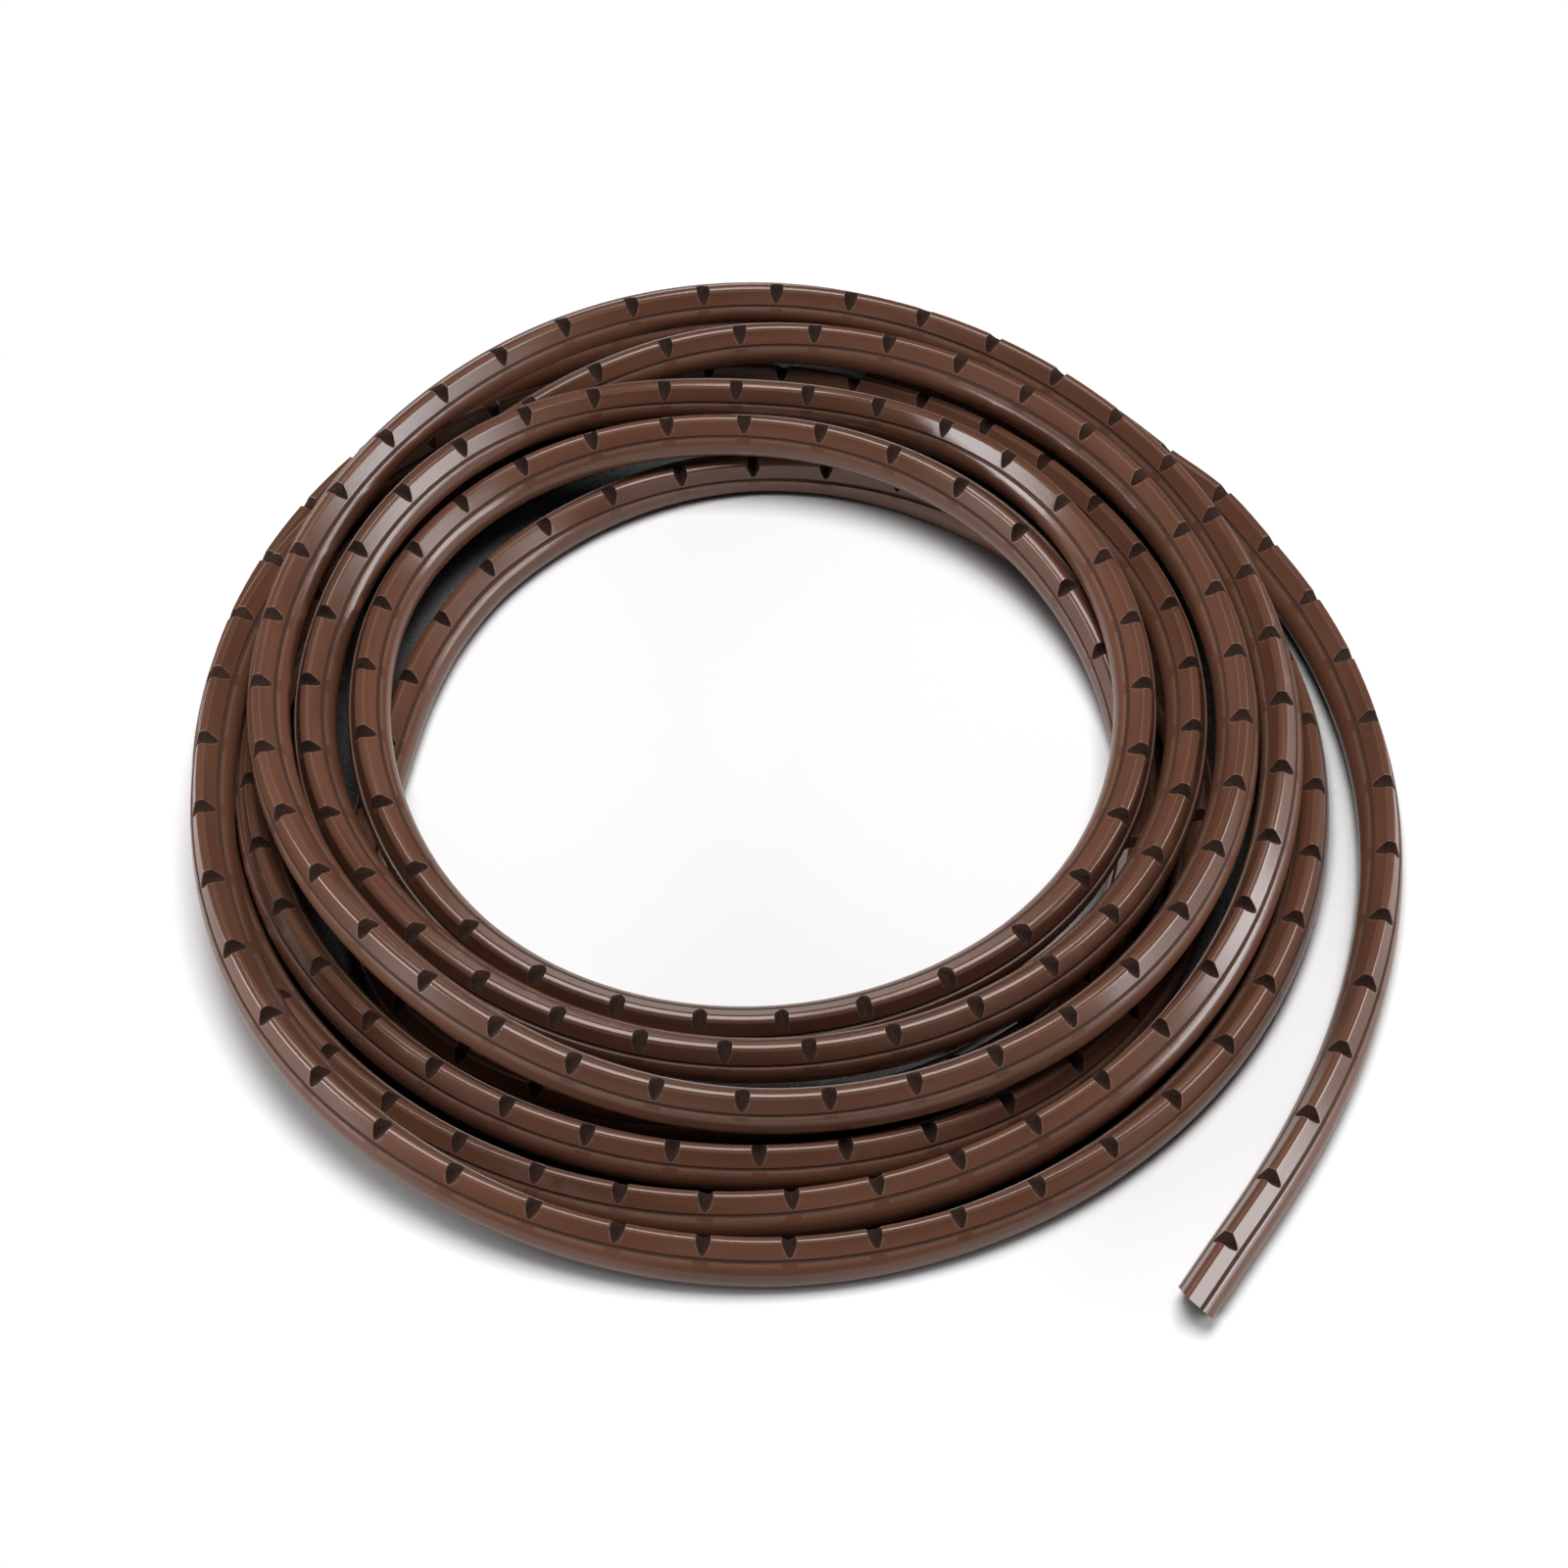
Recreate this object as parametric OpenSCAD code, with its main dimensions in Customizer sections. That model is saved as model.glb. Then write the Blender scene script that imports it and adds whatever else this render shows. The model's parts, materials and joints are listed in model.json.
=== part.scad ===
// Soaker hose: one length of soft extruded hose lying in a loose coil.
// A round wall with a bore carries a raised crown along its top, and a row of
// V notches cuts across the crown at an even pitch. Both ends are cut bare.
// Units are millimetres, +Z is up and the floor is at z = 0.

/* [Wall] */
// Outside diameter of the round wall
body_d = 15; // [13.5:0.5:17]
// Diameter of the bore
bore_d = 10; // [6:0.5:10]

/* [Crown] */
// Height of the crown above the round wall
crown_h = 3.4; // [2:0.1:5]
// Width of the crown at its base
crown_base_w = 9; // [6:0.1:10]
// Width of the flat on top of the crown
crown_top_w = 2.2; // [1.5:0.1:4.5]
// Width of the groove on each side of the crown
groove_w = 1.5; // [0.6:0.1:2]
// Depth of the groove on each side of the crown
groove_deep = 0.8; // [0.3:0.1:0.9]

/* [Notches] */
// Distance from one notch to the next along the hose
notch_pitch = 28; // [22:0.5:36]
// Length of a notch at the top of the crown
notch_len = 5.2; // [2:0.1:8]

/* [Coil] */
// Radius of the innermost lane, to the middle of the hose
inner_r = 103.6; // [90:0.1:140]
// Clear space between two hoses that lie side by side
lane_gap = 0.5; // [0.5:0.1:2]

/* [Ends] */
// Length of the straight open end, from the last notch to the cut
open_len = 20; // [16:0.1:40]
// Length of the straight start end, from the first notch to the cut
start_len = 15; // [15:0.5:24]
// Angle by which the cut of the open end is askew, seen from above
cut_turn = 16; // [0:1:30]
// Angle by which that cut slopes back under the hose
cut_under = 27; // [0:1:35]

/* [Hidden] */

hose_brown = [0.36, 0.23, 0.18];
// Sides of the wall and of the bore, in the coil and in the free run.
coil_sides = 8;
coil_bores = 5;
run_sides = 12;
run_bores = 8;

// One lane is a hose and its clear space, one layer is a hose with its crown.
lane_w = body_d + lane_gap;
layer_h = body_d + crown_h + lane_gap;
// The wall is cut flat by a tenth of its diameter where it lies on the floor.
lie_h = 0.4 * body_d;

// The loose pile, one row a turn, eight places a turn, clockwise from above:
// back, back right, right, front right, front, front left, left, back left.
// Lane that the hose lies in, counted outward from the innermost lane.
lanes = [
  [5.35, 5, 5.7, 6.25, 6.5, 6.3, 5.05, 4.75],
  [4.4, 3.45, 3, 2.75, 2, 2.45, 3, 3.05],
  [3.1, 2.45, 1.85, 1.6, 0.85, 1.45, 1.8, 2.3],
  [1.65, 1.5, 1.9, 2.8, 3, 3.5, 1.4, 1.2],
  [1.7, 2.05, 3.1, 4.2, 4.3, 4.5, 4.35, 3.7],
  [4.5, 4.2, 4.1, 4, 3.55, 3.5, 4, 4.3],
  [5.5, 5.2, 5.1, 5.25, 5.4, 5.5, 5.4, 5.7],
  [6.35, 6.1, 7.15, 9, 13.1]];
// Layer that it lies in, counted upward from the floor.
layers = [
  [0, 0, 0.05, 0, 0.05, 0.8, 1.2, 0.4],
  [0, 0.6, 1.1, 1.15, 0.65, 1, 1.15, 1.65],
  [0.8, 1.25, 1.15, 1.05, 0.2, 0.65, 1.15, 0.9],
  [1.1, 0.85, 0.05, 0, 0, 0, 0, 0],
  [0, 0, 0, 0, 0.2, 0.4, 0.25, 0.6],
  [1.15, 1.3, 1.25, 1.15, 1.05, 1.5, 1.5, 1.95],
  [1.45, 1.1, 0.95, 0.35, 0.05, 0, 0, 0],
  [0, 0, 0, 0, 0]];
// Roll of the crown, outward from the coil, in degrees.
rolls = [
  [8, 15, 15, 5, -16, 5, 22, 8],
  [8, 5, 15, 5, 8, 16, 18, -5],
  [-13, 3, 20, 17, 15, 15, 15, 3],
  [-5, -10, -15, 5, 0, 5, 15, 5],
  [-25, 0, 5, 4, -4, 0, 10, 0],
  [-8, 12, 8, 0, 4, 5, 20, -5],
  [-12, 12, 0, -15, -15, 0, 20, 15],
  [15, 10, 20, -8, -8]];
lane_at = [for (turn = lanes) for (v = turn) v];
layer_at = [for (turn = layers) for (v = turn) v];
roll_at = [for (turn = rolls) for (v = turn) v];

// Eighths of a turn where the hose starts and where its last notch lies.
q_start = 0.41;
q_last = 59.2;
// Eighth of a turn where the free run leaves the coil.
q_leave = 57;

// Smooth curve through the values of a list, at x steps along it.
function clamp(k, n) = min(max(k, 0), n - 1);
function smooth(v, x) =
  let (n = len(v), k = min(max(floor(x), 0), n - 2), t = x - k)
  let (a = v[clamp(k - 1, n)], b = v[k], c = v[k + 1], d = v[clamp(k + 2, n)])
  b + 0.5 * t * (c - a + t * (2 * a - 5 * b + 4 * c - d + t * (3 * (b - c) + d - a)));

// Point on the middle of the hose at q eighths of a turn.
function route(q) =
  let (r = inner_r + smooth(lane_at, q) * lane_w, az = 90 - 45 * q)
  [r * cos(az), r * sin(az), lie_h + max(0, smooth(layer_at, q)) * layer_h];

// Eighths of a turn that one pitch takes from q.
function speed(q) = norm(route(q + 0.01) - route(q - 0.01)) / 0.02;
function next_q(q) = q + notch_pitch / speed(q + 0.5 * notch_pitch / speed(q));
stops = [for (q = q_start; q <= q_last; q = next_q(q)) q];
count = len(stops);
leave = len([for (q = stops) if (q < q_leave) q]);

// Middle of the hose at each notch. The neighbours of an end, and of the place
// where the free run leaves, lie straight with it.
free = [for (q = stops) route(q)];
function unit(v) = v / norm(v);
leave_dir = unit(free[leave + 1] - free[leave - 1]);
path = [for (i = [0 : count - 1])
  i == leave - 1 ? free[leave] - notch_pitch * leave_dir
  : i == leave + 1 ? free[leave] + notch_pitch * leave_dir
  : free[i]];
end_dir = unit(let (v = path[count - 1] - path[count - 2]) [v[0], v[1], 0]);

function lean(i) = smooth(roll_at, stops[i]);

// Direction along the hose, then sideways, then up through the crown.
function along(i) =
  i == 0 ? unit(path[1] - path[0])
  : i == leave ? leave_dir
  : i == count - 1 ? end_dir
  : unit(path[i + 1] - path[i - 1]);
function side(t, w) =
  let (o = unit([-t[1], t[0], 0]), n = cross(t, o)) o * cos(w) - n * sin(w);
function up(t, w) =
  let (o = unit([-t[1], t[0], 0]), n = cross(t, o)) n * cos(w) + o * sin(w);

// Section of the hose: the edges of the crown, then the wall between them.
r_body = body_d / 2;
base_y = sqrt(r_body * r_body - crown_base_w * crown_base_w / 4);
top_y = r_body + crown_h;
base_angle = atan2(crown_base_w / 2, base_y);
// How far each side of the crown moves outward for each millimetre downward.
crown_slope = (crown_base_w - crown_top_w) / 2 / (top_y - base_y);
function section(sides) = [for (k = [0 : sides - 1])
  let (w = base_angle + k * (360 - 2 * base_angle) / (sides - 1))
  [r_body * sin(w), r_body * cos(w)]];
function bore_ring(sides) = [for (k = [0 : sides - 1])
  let (w = (k + 0.5) * 360 / sides) bore_d / 2 * [sin(w), cos(w)]];

function on_floor(p) = [p[0], p[1], max(0, p[2])];
function place(i, p) =
  let (t = along(i), w = lean(i)) path[i] + side(t, w) * p[0] + up(t, w) * p[1];

// Points of a run from notch i0 to notch i1: a ring of the wall at each notch,
// a ring of the bore at each notch, then the top of the crown between notches.
function run_points(i0, i1, sides, bores) = concat(
  [for (i = [i0 : i1]) for (p = section(sides)) on_floor(place(i, p))],
  [for (i = [i0 : i1]) for (p = bore_ring(bores)) place(i, p)],
  [for (i = [i0 : i1 - 1]) for (e = [notch_len / 2, notch_pitch - notch_len / 2])
    for (x = [crown_top_w / 2, -crown_top_w / 2])
      let (f = e / notch_pitch) place(i, [x, top_y]) * (1 - f) + place(i + 1, [x, top_y]) * f]);

function quad(a, b, c, d) = [[a, b, c], [a, c, d]];
function run_faces(n, sides, bores) =
  let (inner = (n + 1) * sides, crest = inner + (n + 1) * bores)
  concat(
    [for (i = [0 : n - 1]) for (k = [0 : sides - 2])
      let (a = i * sides + k)
      each quad(a, a + 1, a + 1 + sides, a + sides)],
    [for (i = [0 : n - 1]) for (k = [0 : bores - 1])
      let (a = inner + i * bores + k, b = inner + i * bores + (k + 1) % bores)
      each quad(b, a, a + bores, b + bores)],
    [for (i = [0 : n - 1])
      let (r = i * sides, l = r + sides - 1, c = crest + 4 * i)
      each concat(
        quad(c + 1, c, c + 2, c + 3),
        quad(r, r + sides, c + 2, c),
        quad(l + sides, l, c + 1, c + 3),
        quad(l, r, c, c + 1),
        quad(r + sides, l + sides, c + 3, c + 2))],
    cap(0, inner, sides, bores, false),
    cap(n * sides, inner + n * bores, sides, bores, true));

// Flat ring that closes one end between the wall and the bore.
function cap(o, b, sides, bores, flip) =
  let (faces = concat(
    [for (k = [0 : sides - 1])
      [o + k, b + near(k, sides, bores), o + (k + 1) % sides]],
    [for (k = [0 : sides - 1])
      let (m = near(k, sides, bores), m2 = near((k + 1) % sides, sides, bores))
      if (m != m2) [o + (k + 1) % sides, b + m, b + m2]]))
  [for (f = faces) flip ? [f[2], f[1], f[0]] : f];
function near(k, sides, bores) = floor((k + 0.5) * bores / sides);

module run(i0, i1, sides, bores)
  polyhedron(run_points(i0, i1, sides, bores), run_faces(i1 - i0, sides, bores), convexity = 10);

// The cut of the open end: its middle, its facing, and the points of its rim.
tip = path[count - 1] + open_len * end_dir;
cut_az = atan2(end_dir[1], end_dir[0]) - cut_turn;
cut_face = [cos(cut_az) * cos(cut_under), sin(cut_az) * cos(cut_under), -sin(cut_under)];
rim = [for (p = concat(section(64), [[crown_top_w / 2, top_y], [-crown_top_w / 2, top_y]]))
  let (v = place(count - 1, p) - path[count - 1])
  tip + v - end_dir * (v * cut_face) / (end_dir * cut_face)];

// Centre of the footprint, from the points of the hose and of its cut end.
reach = concat(rim, [for (i = [0 : count - 1])
  for (p = section(i < leave ? coil_sides : run_sides)) place(i, p)]);
xs = [for (p = reach) p[0]];
ys = [for (p = reach) p[1]];
foot = [(min(xs) + max(xs)) / 2, (min(ys) + max(ys)) / 2, 0];

// Least gap between two turns, on points four to a pitch. The walls are
// measured from line to line, and the crown from its edges to the next wall.
function to_line(p, a, b) =
  let (v = b - a, t = min(1, max(0, (p - a) * v / (v * v)))) norm(p - a - t * v);
crown_pts = [[crown_top_w / 2, top_y], [-crown_top_w / 2, top_y],
  [crown_base_w / 2, base_y], [-crown_base_w / 2, base_y]];
near_by = notch_pitch + body_d + top_y;
gap_list = [for (i = [0 : count - 2]) for (f = [0, 0.25, 0.5, 0.75])
  let (m = path[i] * (1 - f) + path[i + 1] * f)
  for (j = [0 : count - 2])
    if (abs(i - j) > 3 && norm(m - path[j]) < near_by && norm(m - path[j + 1]) < near_by)
      let (crown = [for (p = crown_pts)
        to_line(place(i, p) * (1 - f) + place(i + 1, p) * f, path[j], path[j + 1])])
      min(to_line(m, path[j], path[j + 1]) - body_d, min(crown) - r_body)];
least_gap = min(gap_list);
hose_length = (count - 1) * notch_pitch + open_len + start_len;
echo(least_gap = least_gap, hose_length = hose_length, notches = count);

// Places of the mounts: the open mouth, and a spot where the wall lies flat.
rest = len([for (q = stops) if (q < 53) q]);
// The bore's wall runs on past the middle of the cut, on its longer side.
slant = bore_d / 2 * sqrt(1 / pow(end_dir * cut_face, 2) - 1);
echo(mouth = tip - foot, mouth_axis = end_dir, bore_wall = open_len + slant);
echo(rest_on = (path[rest] + path[rest + 1]) / 2 - foot - [0, 0, lie_h]);
echo(start = path[0] - start_len * along(0) - foot, start_axis = -along(0));

// The pile from the start to where the free run leaves it.
module coil() color(hose_brown) translate(-foot) run(0, leave, coil_sides, coil_bores);

// The stretch that lies free at the right of the coil.
module free_run() color(hose_brown) translate(-foot) run(leave, count - 1, run_sides, run_bores);

// A straight end, cut square, from half a notch at its origin along +Z.
module straight_end(l) difference() {
  union() {
    cylinder(h = l, d = body_d, $fn = 64);
    // The crown's sides run on into the wall.
    linear_extrude(l) polygon([
      [crown_base_w / 2 + crown_slope, base_y - 1], [crown_top_w / 2, top_y],
      [-crown_top_w / 2, top_y], [-crown_base_w / 2 - crown_slope, base_y - 1]]);
  }
  translate([0, 0, -1]) cylinder(h = l + 2, d = bore_d, $fn = 64);
  // Half of the notch at the joint with the run.
  rotate([0, -90, 0]) translate([0, 0, -body_d]) linear_extrude(2 * body_d)
    polygon([[-1, base_y + 0.2], [0, base_y + 0.2], [notch_len / 2, top_y], [notch_len / 2, top_y + 1], [-1, top_y + 1]]);
  // The groove on each side of the crown.
  for (s = [-1, 1]) translate([s * (crown_base_w / 2 + groove_w / 2), base_y + 0.1, notch_len / 2])
    rotate([0, 0, -s * base_angle]) translate([-groove_w / 2, -groove_deep, 0])
      cube([groove_w, groove_deep + 1, l]);
}

// Stands a straight end at notch i, facing along azimuth az, rolled by w, and
// cuts away what is below the floor.
module stand(i, az, w, l) difference() {
  translate(path[i] - foot) rotate([90, 0, az + 90]) rotate([0, 0, w]) straight_end(l);
  translate(path[i] - foot - [2 * l, 2 * l, 2 * l + lie_h]) cube([4 * l, 4 * l, 2 * l]);
}

// The bare cut end of the free run, at the front right. It is cut askew and
// back under the hose, so that its mouth turns down and aside.
module open_end() color(hose_brown) difference() {
  stand(count - 1, atan2(end_dir[1], end_dir[0]), -lean(count - 1), open_len + 2 * top_y);
  translate(tip - foot) rotate([0, cut_under, cut_az])
    translate([0, -4 * body_d, -4 * body_d]) cube([8 * body_d, 8 * body_d, 8 * body_d]);
}

// The bare cut end hidden inside the coil, at the back.
module start_end() color(hose_brown)
  let (t = along(0)) stand(0, atan2(-t[1], -t[0]), lean(0), start_len);

coil();
free_run();
open_end();
start_end();
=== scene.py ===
"""Soaker hose: one bare length of soft brown hose lying in a loose coil.

One piece, the hose, replaces the four CAD lengths. It runs on the CAD model's
route, with the same sizes, and its place comes from the record's mount.
"""

import json
import math

import bpy
import numpy as np
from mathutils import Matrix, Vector

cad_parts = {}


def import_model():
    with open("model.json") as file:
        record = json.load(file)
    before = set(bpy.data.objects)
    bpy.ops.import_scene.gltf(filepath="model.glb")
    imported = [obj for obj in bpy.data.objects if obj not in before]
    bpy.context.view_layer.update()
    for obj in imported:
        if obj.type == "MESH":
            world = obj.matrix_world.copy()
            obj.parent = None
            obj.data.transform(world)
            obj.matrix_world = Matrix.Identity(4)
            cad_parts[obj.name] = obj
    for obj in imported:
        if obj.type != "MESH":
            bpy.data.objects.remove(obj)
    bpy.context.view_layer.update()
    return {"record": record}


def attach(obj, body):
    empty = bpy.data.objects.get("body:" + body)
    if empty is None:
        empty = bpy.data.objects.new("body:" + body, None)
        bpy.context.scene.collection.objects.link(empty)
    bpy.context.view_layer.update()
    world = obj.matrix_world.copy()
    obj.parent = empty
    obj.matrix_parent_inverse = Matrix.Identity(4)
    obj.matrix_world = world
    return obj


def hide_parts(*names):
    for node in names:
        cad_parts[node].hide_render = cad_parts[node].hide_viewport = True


MM = 0.001
TURN = 2 * math.pi

# ---------------------------------------------------------------- dimensions
# The same driving sizes as the CAD model, in metres.
BODY_D = 15 * MM
BORE_D = 10 * MM
CROWN_H = 3.4 * MM
CROWN_BASE_W = 9 * MM
CROWN_TOP_W = 2.2 * MM
GROOVE_W = 1.5 * MM
GROOVE_DEEP = 0.8 * MM
PITCH = 28 * MM
NOTCH_LEN = 5.2 * MM
INNER_R = 103.6 * MM
LANE_GAP = 0.5 * MM
OPEN_LEN = 20 * MM
START_LEN = 15 * MM
# How far the open end's cut is askew, and how far it slopes back underneath.
CUT_TURN = math.radians(16)
CUT_UNDER = math.radians(27)

# One lane is a hose and its clear space, one layer is a hose with its crown.
LANE_W = BODY_D + LANE_GAP
LAYER_H = BODY_D + CROWN_H + LANE_GAP
# Middle of a hose that lies on the floor, with a tenth of its wall flattened.
LIE_H = 0.4 * BODY_D
R_BODY = BODY_D / 2
# Foot and top of the crown above the middle of the wall.
BASE_Y = math.sqrt(R_BODY**2 - CROWN_BASE_W**2 / 4)
TOP_Y = R_BODY + CROWN_H

# The loose pile, one row a turn, eight places a turn, clockwise from above:
# back, back right, right, front right, front, front left, left, back left.
# Lane that the hose lies in, counted outward from the innermost lane.
LANES = [
    [5.35, 5, 5.7, 6.25, 6.5, 6.3, 5.05, 4.75],
    [4.4, 3.45, 3, 2.75, 2, 2.45, 3, 3.05],
    [3.1, 2.45, 1.85, 1.6, 0.85, 1.45, 1.8, 2.3],
    [1.65, 1.5, 1.9, 2.8, 3, 3.5, 1.4, 1.2],
    [1.7, 2.05, 3.1, 4.2, 4.3, 4.5, 4.35, 3.7],
    [4.5, 4.2, 4.1, 4, 3.55, 3.5, 4, 4.3],
    [5.5, 5.2, 5.1, 5.25, 5.4, 5.5, 5.4, 5.7],
    [6.35, 6.1, 7.15, 9, 13.1],
]
# Layer that it lies in, counted upward from the floor.
LAYERS = [
    [0, 0, 0.05, 0, 0.05, 0.8, 1.2, 0.4],
    [0, 0.6, 1.1, 1.15, 0.65, 1, 1.15, 1.65],
    [0.8, 1.25, 1.15, 1.05, 0.2, 0.65, 1.15, 0.9],
    [1.1, 0.85, 0.05, 0, 0, 0, 0, 0],
    [0, 0, 0, 0, 0.2, 0.4, 0.25, 0.6],
    [1.15, 1.3, 1.25, 1.15, 1.05, 1.5, 1.5, 1.95],
    [1.45, 1.1, 0.95, 0.35, 0.05, 0, 0, 0],
    [0, 0, 0, 0, 0],
]
# Roll of the crown, outward from the coil, in degrees.
ROLLS = [
    [8, 15, 15, 5, -16, 5, 22, 8],
    [8, 5, 15, 5, 8, 16, 18, -5],
    [-13, 3, 20, 17, 15, 15, 15, 3],
    [-5, -10, -15, 5, 0, 5, 15, 5],
    [-25, 0, 5, 4, -4, 0, 10, 0],
    [-8, 12, 8, 0, 4, 5, 20, -5],
    [-12, 12, 0, -15, -15, 0, 20, 15],
    [15, 10, 20, -8, -8],
]
# Eighths of a turn where the hose starts, where its last notch lies, and
# where the free run leaves the coil.
Q_START, Q_LAST, Q_LEAVE = 0.41, 59.2, 57


# --------------------------------------------------------------------- route
def unit(v):
    """The same directions with length 1."""
    return v / np.linalg.norm(v, axis=-1, keepdims=True)


def spline(a, b, c, d, t):
    """Point at t on the smooth curve from b to c, between a and d."""
    return b + 0.5 * t * (
        c - a + t * (2 * a - 5 * b + 4 * c - d + t * (3 * (b - c) + d - a)))


def spline_slope(a, b, c, d, t):
    """Twice that curve's slope at t."""
    return (c - a + 2 * t * (2 * a - 5 * b + 4 * c - d)
            + 3 * t * t * (3 * (b - c) + d - a))


def smooth(rows, x):
    """Value at x steps along the rows, on a smooth curve through them."""
    values = [float(value) for row in rows for value in row]
    last = len(values) - 1
    k = min(max(math.floor(x), 0), last - 1)
    a, b, c, d = (values[min(max(k + j, 0), last)] for j in (-1, 0, 1, 2))
    return spline(a, b, c, d, x - k)


def route(q):
    """Middle of the hose at q eighths of a turn, about the coil's centre."""
    r = INNER_R + smooth(LANES, q) * LANE_W
    azimuth = math.radians(90 - 45 * q)
    height = LIE_H + max(0.0, smooth(LAYERS, q)) * LAYER_H
    return np.array([r * math.cos(azimuth), r * math.sin(azimuth), height])


# Eighths of a turn to each side over which the route's speed is measured.
NUDGE = 0.01


def next_q(q):
    """Eighths of a turn at one pitch past q, by the speed half way there."""
    def speed(at):
        return np.linalg.norm(route(at + NUDGE) - route(at - NUDGE)) / (2 * NUDGE)

    return q + PITCH / speed(q + 0.5 * PITCH / speed(q))


def notch_places():
    """Middle and roll of the hose at each notch, as the CAD model has them.

    The neighbours of the place where the free run leaves lie straight with it.
    """
    q, stops = Q_START, []
    while q <= Q_LAST:
        stops.append(q)
        q = next_q(q)
    places = np.array([route(q) for q in stops])
    leave = sum(q < Q_LEAVE for q in stops)
    away = unit(places[leave + 1] - places[leave - 1])
    places[leave - 1] = places[leave] - PITCH * away
    places[leave + 1] = places[leave] + PITCH * away
    return places, np.radians([smooth(ROLLS, q) for q in stops])


# The open end is straight from this share of a notch's length past its middle.
CLEAR_OF_NOTCH = 0.62


class Hose:
    """The hose's middle line and its frame at any distance along it.

    Distances are counted in pitches from the first notch. Before the first
    and after the last notch the hose runs straight."""

    def __init__(self, mouth, mouth_axis):
        places, self.roll = notch_places()
        self.count = len(places)
        last = places[-1] - places[-2]
        last[2] = 0
        self.start_dir = unit(places[1] - places[0])
        self.end_dir = unit(last)
        # From the coil's centre to the frame's origin, by the mouth's place.
        self.shift = mouth - (places[-1] + OPEN_LEN * mouth_axis)
        self.shift[2] = 0
        places = places + self.shift
        self.knots = np.vstack([
            places[0] - PITCH * self.start_dir, places,
            places[-1] + PITCH * self.end_dir])
        self.start = -START_LEN / PITCH
        self.end = self.count - 1 + OPEN_LEN / PITCH
        self.straight_from = self.count - 1 + CLEAR_OF_NOTCH * NOTCH_LEN / PITCH
        azimuth = math.atan2(self.end_dir[1], self.end_dir[0]) - CUT_TURN
        self.cut_face = np.array([
            math.cos(azimuth) * math.cos(CUT_UNDER),
            math.sin(azimuth) * math.cos(CUT_UNDER), -math.sin(CUT_UNDER)])

    def stops(self, step):
        """Distances from end to end, a step apart between the end notches."""
        between = np.arange(0, self.count - 1 + step / 2, step)
        return np.concatenate([[self.start], between, [self.end]])

    def at(self, s):
        """Middle points, sideways and up vectors at the distances s."""
        inside = np.clip(s, 0, self.count - 1)
        k = np.clip(np.floor(inside).astype(int), 0, self.count - 2)
        a, b, c, d = (self.knots[k + j] for j in range(4))
        t = (inside - k)[:, None]
        before, after = (s < 0)[:, None], (s > self.count - 1)[:, None]
        early = (s * PITCH)[:, None]
        late = ((s - self.count + 1) * PITCH)[:, None]
        pts = spline(a, b, c, d, t)
        pts = np.where(before, self.knots[1] + early * self.start_dir, pts)
        pts = np.where(after, self.knots[-2] + late * self.end_dir, pts)
        along = unit(spline_slope(a, b, c, d, t))
        along = np.where(before, self.start_dir, along)
        along = np.where(after, self.end_dir, along)
        roll = np.interp(inside, np.arange(self.count), self.roll)[:, None]
        out = unit(np.stack([-along[:, 1], along[:, 0], 0 * s], 1))
        normal = np.cross(along, out)
        side = out * np.cos(roll) - normal * np.sin(roll)
        up = normal * np.cos(roll) + out * np.sin(roll)
        return pts, side, up


# ------------------------------------------------------------------- section
WALL_SIDES = 20
# Points of the groove: how far across it, and how deep, as shares.
GROOVE = ((0.25, 0.85), (0.6, 1.0), (0.85, 0.5))
# Points of the crown's flank, as shares of its height.
FLANK = (0.0, 0.06, 0.45, 0.9, 1.0)
# The flank ends this far below the top, where the crown's edge rounds over.
EDGE = 0.45 * MM
CORNER_IN, CORNER_DOWN = 0.05 * MM, 0.12 * MM
# The top swells a little inside this share of its half width.
SWELL_AT, SWELL = 0.55, 0.03 * MM


def crown_half_width(y):
    """Half of the crown's width at height y above the middle of the wall."""
    f = (y - BASE_Y) / (TOP_Y - BASE_Y)
    return CROWN_BASE_W / 2 * (1 - f) + CROWN_TOP_W / 2 * f


def half_crown(top):
    """Points of one side of the crown, from its base to its middle."""
    heights = [BASE_Y + f * (top - EDGE - BASE_Y) for f in FLANK]
    half = crown_half_width(top)
    return [(crown_half_width(y), y) for y in heights] + [
        (half - CORNER_IN, top - CORNER_DOWN), (half * SWELL_AT, top + SWELL)]


def polar(r, angle):
    """Point of the section at an angle from the crown's middle."""
    return r * math.sin(angle), r * math.cos(angle)


def section(top):
    """Outline of the hose with its crown cut down to height top.

    It runs from the foot of the crown through one groove, round the wall,
    through the other groove and back over the crown."""
    base = math.atan2(CROWN_BASE_W / 2, BASE_Y)
    groove = GROOVE_W / R_BODY
    lip = base + groove
    dip = [polar(R_BODY - deep * GROOVE_DEEP, base + across * groove)
           for across, deep in GROOVE]
    wall = [polar(R_BODY, lip + k * (TURN - 2 * lip) / WALL_SIDES)
            for k in range(WALL_SIDES + 1)]
    crown = half_crown(top)
    return np.array(dip + wall + [(-x, y) for x, y in reversed(dip)]
                    + [(-x, y) for x, y in crown] + crown[::-1])


# Where the outline's stretches lie among its points. The crown's top starts at
# the last point of one flank and ends at that of the other.
POINTS = len(section(TOP_Y))
LIPS = [len(GROOVE), len(GROOVE) + WALL_SIDES]
CROWN_FROM = POINTS - 2 * len(half_crown(TOP_Y))
GROOVES = [*range(LIPS[0]), *range(LIPS[1] + 1, CROWN_FROM)]
TOP = range(CROWN_FROM + len(FLANK) - 1, POINTS - len(FLANK) + 1)
TOP_EDGES = [TOP[0], TOP[-1]]
SHOULDERS = [TOP[0] - 1, TOP[-1] + 1]

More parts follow.
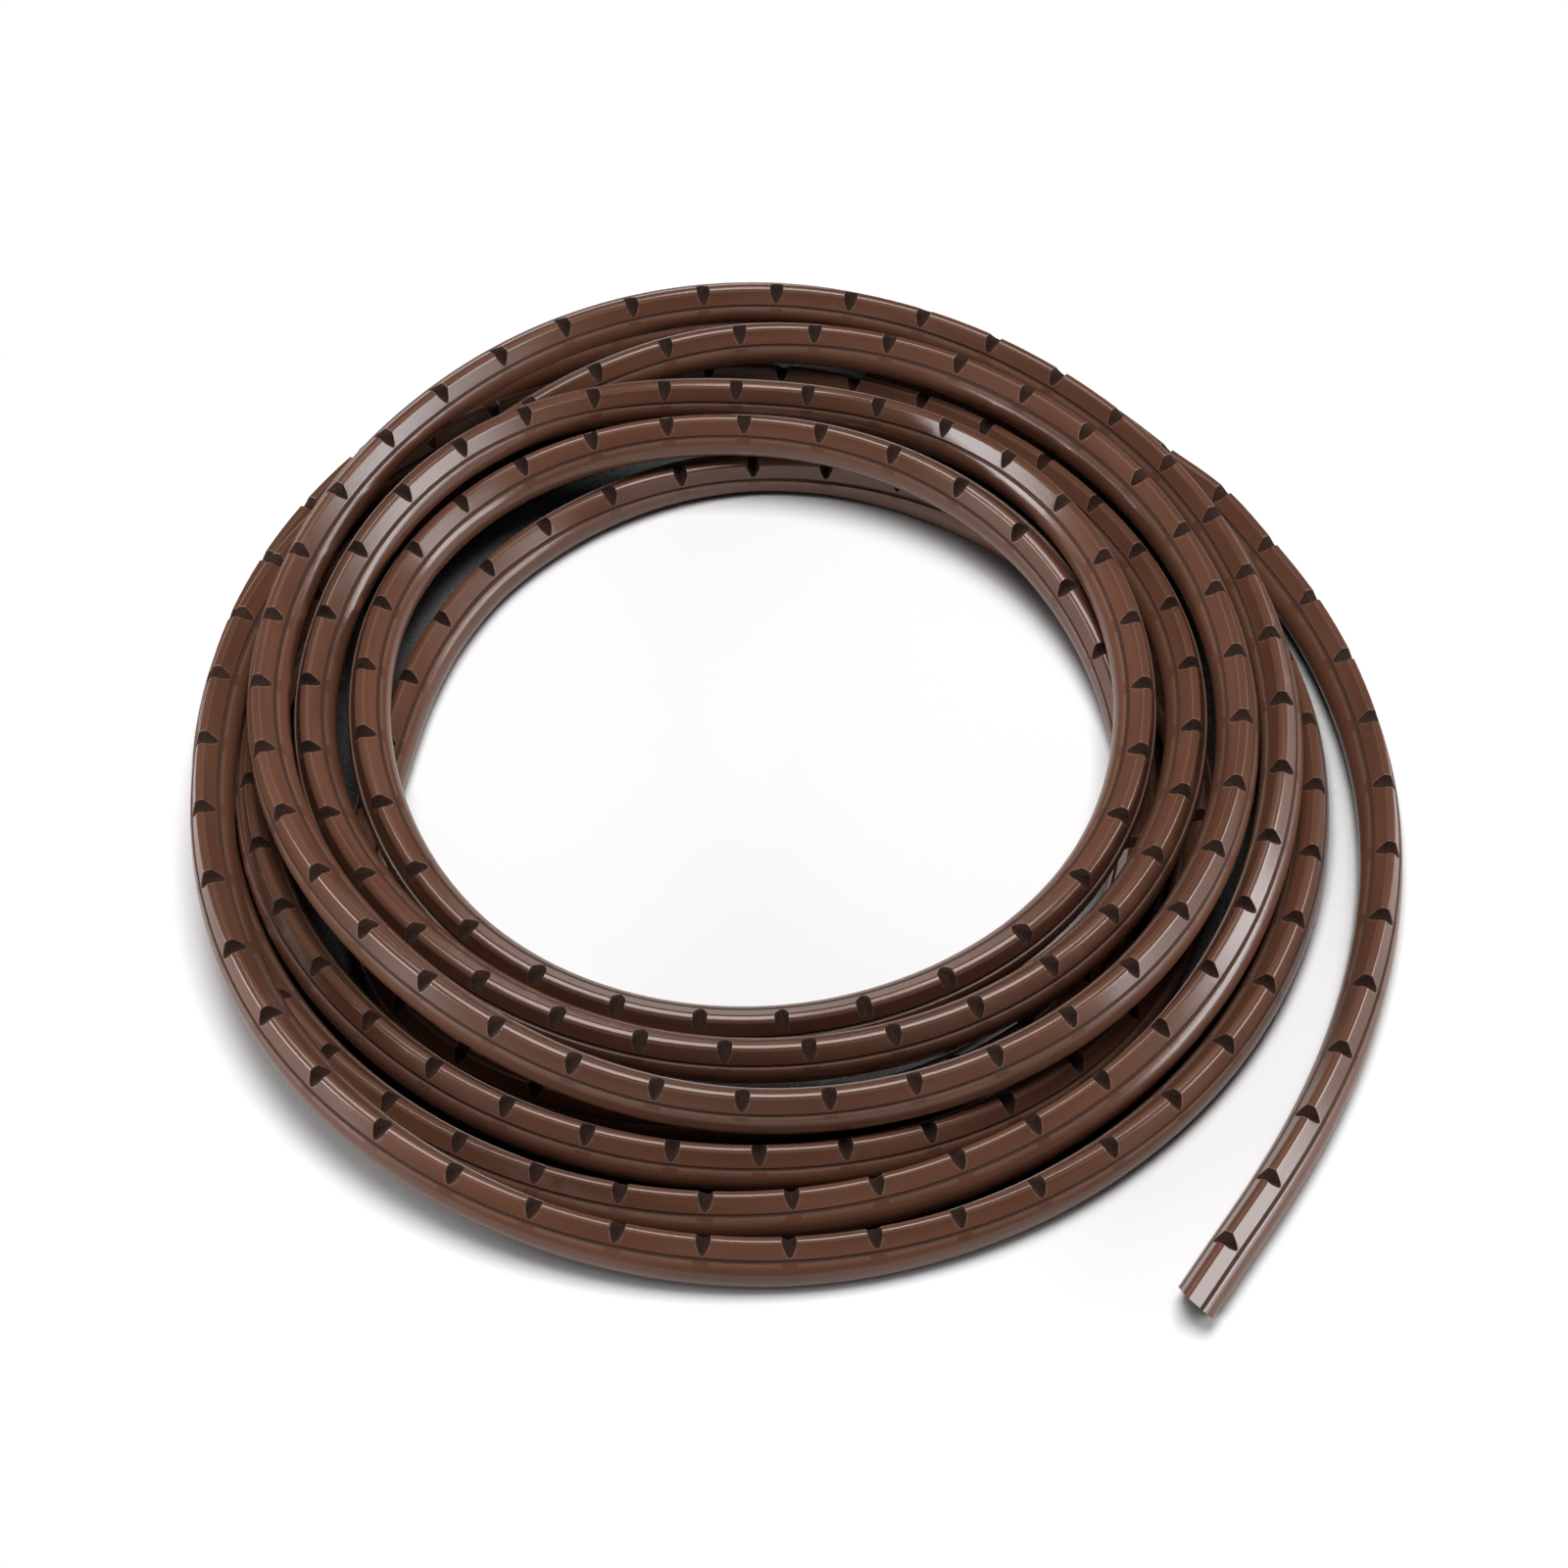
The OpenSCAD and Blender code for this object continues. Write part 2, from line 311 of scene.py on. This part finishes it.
# A notch: distances from its middle, as shares of its length, and how much of
# the crown is left there. It bulges, so that it looks like a lens from above.
NOTCH_FLOOR, NOTCH_BULGE = 0.16, 0.55
NOTCH = [(0.5 * h**NOTCH_BULGE, NOTCH_FLOOR + (1 - NOTCH_FLOOR) * h)
         for h in (0, 0.1, 0.32, 0.62, 0.88, 1)]
# One more ring just outside it keeps its rim crisp.
NOTCH_OUTSIDE = 0.56
NOTCH += [(NOTCH_OUTSIDE, 1.0)]
# Even stretches between one notch and the next, and rings of the open end.
BETWEEN = 4
OPEN_RINGS = 4


def ring_places(hose):
    """Distances of the rings, and how much of the crown is left at each."""
    rings = {hose.start: 1.0, hose.start / 2: 1.0}
    edge = NOTCH_OUTSIDE * NOTCH_LEN / PITCH
    for i in range(hose.count):
        for d, left in NOTCH:
            for sign in (-1, 1):
                rings[i + sign * d * NOTCH_LEN / PITCH] = left
        for j in range(1, BETWEEN):
            rings[i + edge + (1 - 2 * edge) * j / BETWEEN] = 1.0
    places = sorted(s for s in rings if hose.start <= s <= hose.straight_from)
    left = [rings[s] for s in places] + [1.0] * OPEN_RINGS
    places += list(np.linspace(hose.straight_from, hose.end, OPEN_RINGS + 1)[1:])
    return np.array(places), np.array(left)


# ---------------------------------------------------------------------- mesh
BORE_SIDES = 20
# Rings of the bore, in pitches.
BORE_STEP = 0.25
# Edges between faces that meet more steeply than this stay sharp.
SHARP = math.radians(38)


def sweep_points(hose, s, sections):
    """Places each section's points at its distance along the hose."""
    pts, side, up = hose.at(s)
    grid = (pts[:, None] + sections[:, :, :1] * side[:, None]
            + sections[:, :, 1:] * up[:, None])
    # The open end grows out to its slanting cut.
    out = np.clip((s - hose.straight_from) / (hose.end - hose.straight_from), 0, 1)
    across = grid - pts[:, None]
    slant = -(across @ hose.cut_face) / (hose.end_dir @ hose.cut_face)
    grid += (out[:, None] * slant)[:, :, None] * hose.end_dir
    # The wall lies flat on the floor.
    grid[:, :, 2] = np.maximum(grid[:, :, 2], 0.0)
    return grid


def tube_faces(rings, n, first, flip):
    """Quads between rings of n points each, which start at point first."""
    i = np.arange(rings - 1)[:, None] * n
    k = np.arange(n)[None]
    a, b = first + i + k, first + i + (k + 1) % n
    quads = np.stack([a, b, b + n, a + n], -1).reshape(-1, 4)
    return (quads[:, ::-1] if flip else quads).tolist()


def cap_faces(outer, outer_at, inner, inner_at, flip):
    """Flat ring between an outline and the bore, both walked by angle."""
    def walk(points, at):
        angles = [math.atan2(x, y) % TURN for x, y in points]
        order = sorted(range(len(points)), key=lambda k: angles[k])
        return ([at + k for k in order + order[:1]],
                [angles[k] for k in order] + [angles[order[0]] + TURN])

    (o, o_angle), (n, n_angle) = walk(outer, outer_at), walk(inner, inner_at)
    faces, i, j = [], 0, 0
    while i < len(outer) or j < len(inner):
        if j == len(inner) or (i < len(outer) and o_angle[i + 1] <= n_angle[j + 1]):
            faces.append((o[i], n[j], o[i + 1]))
            i += 1
        else:
            faces.append((o[i], n[j], n[j + 1]))
            j += 1
    return [face[::-1] for face in faces] if flip else faces


def make_hose(hose):
    """The whole hose as one closed mesh: outside, bore and two cut faces."""
    s, left = ring_places(hose)
    sections = np.array([section(BASE_Y + f * (TOP_Y - BASE_Y)) for f in left])
    outside = sweep_points(hose, s, sections).reshape(-1, 3)

    bore = np.array([
        polar(BORE_D / 2, a) for a in np.arange(BORE_SIDES) * TURN / BORE_SIDES])
    bore_s = hose.stops(BORE_STEP)
    bores = np.repeat(bore[None], len(bore_s), 0)
    inside = sweep_points(hose, bore_s, bores).reshape(-1, 3)

    verts = np.vstack([outside, inside])
    first = len(outside)
    faces = tube_faces(len(s), POINTS, 0, True)
    faces += tube_faces(len(bore_s), BORE_SIDES, first, False)
    faces += cap_faces(sections[0], 0, bore, first, True)
    faces += cap_faces(
        sections[-1], first - POINTS, bore, len(verts) - BORE_SIDES, False)

    mesh = bpy.data.meshes.new("hose")
    mesh.from_pydata(verts.tolist(), [], faces)
    mesh.update()
    obj = bpy.data.objects.new("hose", mesh)
    bpy.context.scene.collection.objects.link(obj)
    mesh.polygons.foreach_set("use_smooth", [True] * len(mesh.polygons))
    mesh.set_sharp_from_angle(angle=SHARP)
    mark_surface(mesh, s, left, bore_s)
    return obj


# The crown counts as cut where less than this much of it is left, fading out.
CUT_FADE = (0.93, 0.99)
# The painted highlight on a notch's rim lies between these shares of its length.
RIM_FROM, RIM_TO = 0.49, 0.55
# How strongly the painted highlights on shoulders and edges, and the painted shade in
# the grooves, are marked, from 0 to 1.
SHOULDER_HIGHLIGHT, EDGE_HIGHLIGHT, GROOVE_SHADE = 0.8, 0.6, 0.6
# Distance between two points round the bore, for the material's grain.
BORE_STRIDE = 1.5 * MM


def mark_surface(mesh, s, left, bore_s):
    """Marks that the material reads.

    One mark is the dull, darker face that a notch leaves on top, together with painted
    shade in the grooves.
    The other is painted highlight: a pale line on the notches' rims, the crown's edges
    and the lips of the grooves.
    "flow" is the distance along the hose and round it, for the die's marks.
    """
    def marks(points, value=1.0):
        ring = np.zeros(POINTS)
        ring[points] = value
        return ring

    def store(name, kind, key, values):
        layer = mesh.attributes.new(name, kind, "POINT")
        layer.data.foreach_set(key, values.ravel())

    top = marks(TOP)
    in_notch = np.interp(left, CUT_FADE, (1.0, 0.0))[:, None]
    # Darker, dull notch faces, and painted shade in the grooves.
    cut = np.maximum(in_notch * top, marks(GROOVES, GROOVE_SHADE))
    from_middle = np.abs(s - np.round(s)) * PITCH / NOTCH_LEN
    on_rim = ((from_middle > RIM_FROM) & (from_middle < RIM_TO))[:, None]
    # Painted highlight: pale lines on notch rims, on the shoulders inside a notch, and
    # on the lips and the crown's top edges elsewhere.
    rim = np.maximum.reduce([
        on_rim * top,
        in_notch * marks(SHOULDERS, SHOULDER_HIGHLIGHT),
        (1 - in_notch) * marks(LIPS + TOP_EDGES, EDGE_HIGHLIGHT)])
    in_bore = np.zeros(len(bore_s) * BORE_SIDES)
    store("cut", "FLOAT", "value", np.append(cut, in_bore))
    store("rim", "FLOAT", "value", np.append(rim, in_bore))

    outline = section(TOP_Y)
    sides = np.linalg.norm(np.diff(outline, axis=0), axis=1)
    flow = np.vstack([
        [(x * PITCH, y, 0) for x in at for y in ring]
        for at, ring in ((s, np.append(0, np.cumsum(sides))),
                         (bore_s, np.arange(BORE_SIDES) * BORE_STRIDE))])
    store("flow", "FLOAT_VECTOR", "vector", flow)


# ----------------------------------------------------------------- materials
WHITE = (1, 1, 1, 1)
# Colours of the skin, and of the notch faces and the painted shade in the grooves, at a
# low and a high value of their noise.
BROWN = (0.3, (0.104, 0.042, 0.024, 1), 0.75, (0.152, 0.065, 0.039, 1))
NOTCH_FACE_AND_GROOVE_SHADE = (0.35, (0.012, 0.003, 0.001, 1), 0.7, (0.048, 0.015, 0.005, 1))
# Colour of the painted highlight on rims, edges and lips, and how much of it shows.
HIGHLIGHT_TINT, HIGHLIGHT_SHARE = (0.30, 0.19, 0.145, 1), 0.45
# Satin roughness of the skin, and dull roughness of the cuts.
SATIN_MIN, SATIN_MAX, DULL = 0.17, 0.27, 1.0
# Patches and die lines for each metre along the hose and round it.
PATCHES, DIE_LINES = (14, 120, 1), (6, 2600, 1)
# Grains for each metre of the cuts.
GRAIN = 1400.0
# Strength and depth of the die lines' bump, and depth of the cuts' bump.
DIE_STRENGTH, DIE_DEEP, CUT_DEEP = 0.12, 0.0002, 0.0003

FLOOR_TINT = (0.8, 0.8, 0.8, 1)
# Painted shade: the floor's colour darkens where less than GAP_OPEN of the sky within
# GAP_REACH is open among the pile's turns, down to GAP_SHADE at GAP_CLOSED.
GAP_REACH, GAP_CLOSED, GAP_OPEN, GAP_SHADE = 0.06, 0.22, 0.45, 0.01
# The camera sees the floor turn to plain white over these distances.
WHITE_FROM, WHITE_TO = 0.24, 0.36


def put(tree, socket, value):
    """Links another node's output to a socket, or sets the socket's value."""
    if isinstance(value, bpy.types.NodeSocket):
        tree.links.new(value, socket)
    else:
        socket.default_value = value


def node(tree, kind, **values):
    """New node, with the values for its inputs or else its settings."""
    n = tree.nodes.new(kind)
    for key, value in values.items():
        if key in n.inputs:
            put(tree, n.inputs[key], value)
        else:
            setattr(n, key, value)
    return n


def mix(tree, kind, factor, a, b, **settings):
    """Mix of two numbers (FLOAT) or two colours (RGBA)."""
    at_a, at_b, at_result = {"FLOAT": (2, 3, 0), "RGBA": (6, 7, 2)}[kind]
    n = node(tree, "ShaderNodeMix", data_type=kind, Factor=factor, **settings)
    put(tree, n.inputs[at_a], a)
    put(tree, n.inputs[at_b], b)
    return n.outputs[at_result]


def times(tree, a, b):
    n = node(tree, "ShaderNodeMath", operation="MULTIPLY")
    put(tree, n.inputs[0], a)
    put(tree, n.inputs[1], b)
    return n.outputs["Value"]


def ramp(tree, factor, low, low_colour, high, high_colour):
    """Colour that runs from one to the other between two factors."""
    n = node(tree, "ShaderNodeValToRGB", Fac=factor)
    first, last = n.color_ramp.elements
    first.position, first.color = low, low_colour
    last.position, last.color = high, high_colour
    return n.outputs["Color"]


def remap(tree, value, low, high, to_low, to_high, kind="LINEAR"):
    n = node(tree, "ShaderNodeMapRange", interpolation_type=kind, Value=value)
    for name, number in (("From Min", low), ("From Max", high),
                         ("To Min", to_low), ("To Max", to_high)):
        n.inputs[name].default_value = number
    return n.outputs["Result"]


def noise(tree, vector, scale, detail):
    n = node(tree, "ShaderNodeTexNoise", Vector=vector, Scale=scale, Detail=detail)
    return n.outputs["Fac"]


def stretched(tree, vector, scale):
    return node(tree, "ShaderNodeMapping", Vector=vector, Scale=scale).outputs["Vector"]


def attribute(tree, name, output="Fac"):
    return node(tree, "ShaderNodeAttribute", attribute_name=name).outputs[output]


def new_material(name):
    """A new material, its node tree and its shader."""
    mat = bpy.data.materials.new(name)
    mat.use_nodes = True
    return mat, mat.node_tree, mat.node_tree.nodes["Principled BSDF"]


def hose_material():
    """Soft satin vinyl: brown, with faint die lines along its length, painted
    highlights on its edges and painted shade in its grooves.
    """
    mat, tree, shader = new_material("soft_brown_vinyl")
    flow = attribute(tree, "flow", "Vector")
    cut, rim = attribute(tree, "cut"), attribute(tree, "rim")
    place = node(tree, "ShaderNodeTexCoord").outputs["Object"]

    # Long soft patches of lighter and darker brown.
    patches = noise(tree, stretched(tree, flow, PATCHES), scale=1.0, detail=3.0)
    brown = ramp(tree, patches, *BROWN)
    # The notch faces are dull and darker, and the same mark paints shade into the
    # grooves.
    grain = noise(tree, place, scale=GRAIN, detail=4.0)
    inner = ramp(tree, grain, *NOTCH_FACE_AND_GROOVE_SHADE)
    skin = mix(tree, "RGBA", cut, brown, inner)
    # Painted highlight: a pale line on rims, crown edges and lips.
    highlighted = mix(tree, "RGBA", times(tree, rim, HIGHLIGHT_SHARE), skin, HIGHLIGHT_TINT)
    put(tree, shader.inputs["Base Color"], highlighted)

    # Gloss: satin, dull in the cuts, and a little uneven along the hose.
    satin = remap(tree, patches, 0, 1, SATIN_MIN, SATIN_MAX)
    put(tree, shader.inputs["Roughness"], mix(tree, "FLOAT", cut, satin, DULL))
    shader.inputs["Specular IOR Level"].default_value = 0.5
    shader.inputs["IOR"].default_value = 1.5

    # Die lines run along the hose, and a fine grain covers the cuts.
    die = noise(tree, stretched(tree, flow, DIE_LINES), scale=1.0, detail=2.0)
    lines = node(tree, "ShaderNodeBump", Strength=DIE_STRENGTH, Distance=DIE_DEEP,
                 Height=die)
    rough = node(tree, "ShaderNodeBump", Strength=cut, Distance=CUT_DEEP,
                 Height=grain, Normal=lines.outputs["Normal"])
    put(tree, shader.inputs["Normal"], rough.outputs["Normal"])
    return mat


def floor_material():
    """A pale floor with painted shade in the pile's gaps, which the camera sees as pure
    white.
    """
    mat, tree, shader = new_material("pale_floor")
    shader.inputs["Roughness"].default_value = 0.9
    shader.inputs["Specular IOR Level"].default_value = 0.0
    seen = node(tree, "ShaderNodeLightPath").outputs["Is Camera Ray"]
    tint = mix(tree, "RGBA", seen, FLOOR_TINT, WHITE)
    # Painted shade: ambient occlusion darkens the floor's colour in the deep gaps among
    # the turns, where little light comes down.
    sky = node(tree, "ShaderNodeAmbientOcclusion", Distance=GAP_REACH, samples=8)
    shade = remap(tree, sky.outputs["AO"], GAP_CLOSED, GAP_OPEN, GAP_SHADE, 1)
    put(tree, shader.inputs["Base Color"],
        mix(tree, "RGBA", 1.0, tint, shade, blend_type="MULTIPLY"))
    # Away from the hose the camera sees plain white.
    place = node(tree, "ShaderNodeTexCoord").outputs["Object"]
    away = node(tree, "ShaderNodeVectorMath", operation="LENGTH", Vector=place)
    far = remap(tree, away.outputs["Value"], WHITE_FROM, WHITE_TO, 0, 1, "SMOOTHSTEP")
    white = node(tree, "ShaderNodeEmission")
    both = node(tree, "ShaderNodeMixShader", Fac=times(tree, far, seen))
    put(tree, both.inputs[1], shader.outputs["BSDF"])
    put(tree, both.inputs[2], white.outputs["Emission"])
    put(tree, tree.nodes["Material Output"].inputs["Surface"], both.outputs["Shader"])
    return mat


# --------------------------------------------------------------------- stage
# The floor lies just under the hose, so that their faces don't meet.
FLOOR_SIZE, FLOOR_DROP = 12, 0.2 * MM

# Soft lamps, which all face the origin: name, place, width, height, radiance
# and colour. Two low ones at the sides draw the streaks on the crowns.
COOL, PLAIN = (0.94, 0.97, 1.0), (1, 1, 1)
LAMPS = (
    ("left_box", (-1.25, -0.33, 0.24), 0.8, 0.34, 14, COOL),
    ("right_box", (1.28, -0.1, 0.24), 1.0, 0.34, 10.5, COOL),
    ("top_box", (0, 0.12, 1.7), 1.0, 1.0, 8.9, PLAIN),
)
WORLD_STRENGTH = 0.06

# Camera: height of view, distance and focal length read from the photograph.
VIEW_ELEVATION = math.radians(53.46)
VIEW_DISTANCE = 1.4437
FOCAL_PX, FRAME_PX = 4225.0, 1600.0
SENSOR_MM = 36
CLIP_START, CLIP_END = 0.05, 30
# Point on the floor at the middle of the frame, about the coil's centre.
VIEW_AIM = np.array([11.33, -8.56, 0.0]) * MM


def make_floor():
    bpy.ops.mesh.primitive_plane_add(size=FLOOR_SIZE, location=(0, 0, -FLOOR_DROP))
    floor = bpy.context.object
    floor.name = "floor"
    floor.data.materials.append(floor_material())


def stand(name, data, place, aim):
    """Adds a lamp or a camera at a place, and turns it to its aim."""
    obj = bpy.data.objects.new(name, data)
    bpy.context.scene.collection.objects.link(obj)
    obj.location = place
    look = Vector(np.subtract(aim, place))
    obj.rotation_euler = look.to_track_quat("-Z", "Y").to_euler()
    return obj


def make_lights():
    for name, place, width, height, radiance, colour in LAMPS:
        data = bpy.data.lights.new(name, "AREA")
        data.shape = "RECTANGLE"
        data.size, data.size_y = width, height
        data.color = colour
        data.energy = radiance * math.pi * width * height
        stand(name, data, place, (0, 0, 0))
    world = bpy.data.worlds.new("studio")
    bpy.context.scene.world = world
    world.use_nodes = True
    back = world.node_tree.nodes["Background"]
    back.inputs["Color"].default_value = WHITE
    back.inputs["Strength"].default_value = WORLD_STRENGTH


def make_camera(hose):
    data = bpy.data.cameras.new("camera")
    data.sensor_width = SENSOR_MM
    data.lens = SENSOR_MM * FOCAL_PX / FRAME_PX
    data.clip_start, data.clip_end = CLIP_START, CLIP_END
    aim = VIEW_AIM + hose.shift
    back = np.array([0, -math.cos(VIEW_ELEVATION), math.sin(VIEW_ELEVATION)])
    bpy.context.scene.camera = stand("camera", data, aim + VIEW_DISTANCE * back, aim)


def main():
    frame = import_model()
    bpy.context.scene.view_settings.view_transform = "Standard"

    bore = next(m for m in frame["record"]["mounts"] if m["name"] == "open_end_bore")
    axis = np.array(bore["axis"])
    # The mount spans the bore's wall, whose far side runs on past the mouth.
    wall = bore["dims"]["length_mm"] * MM
    hose = Hose(np.array(bore["pos_m"]) + axis * (OPEN_LEN - wall / 2), axis)
    make_camera(hose)

    piece = make_hose(hose)
    piece.data.materials.append(hose_material())
    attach(piece, "root")
    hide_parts("coil", "free_run", "open_end", "start_end")

    make_floor()
    make_lights()
    bpy.context.view_layer.update()


main()
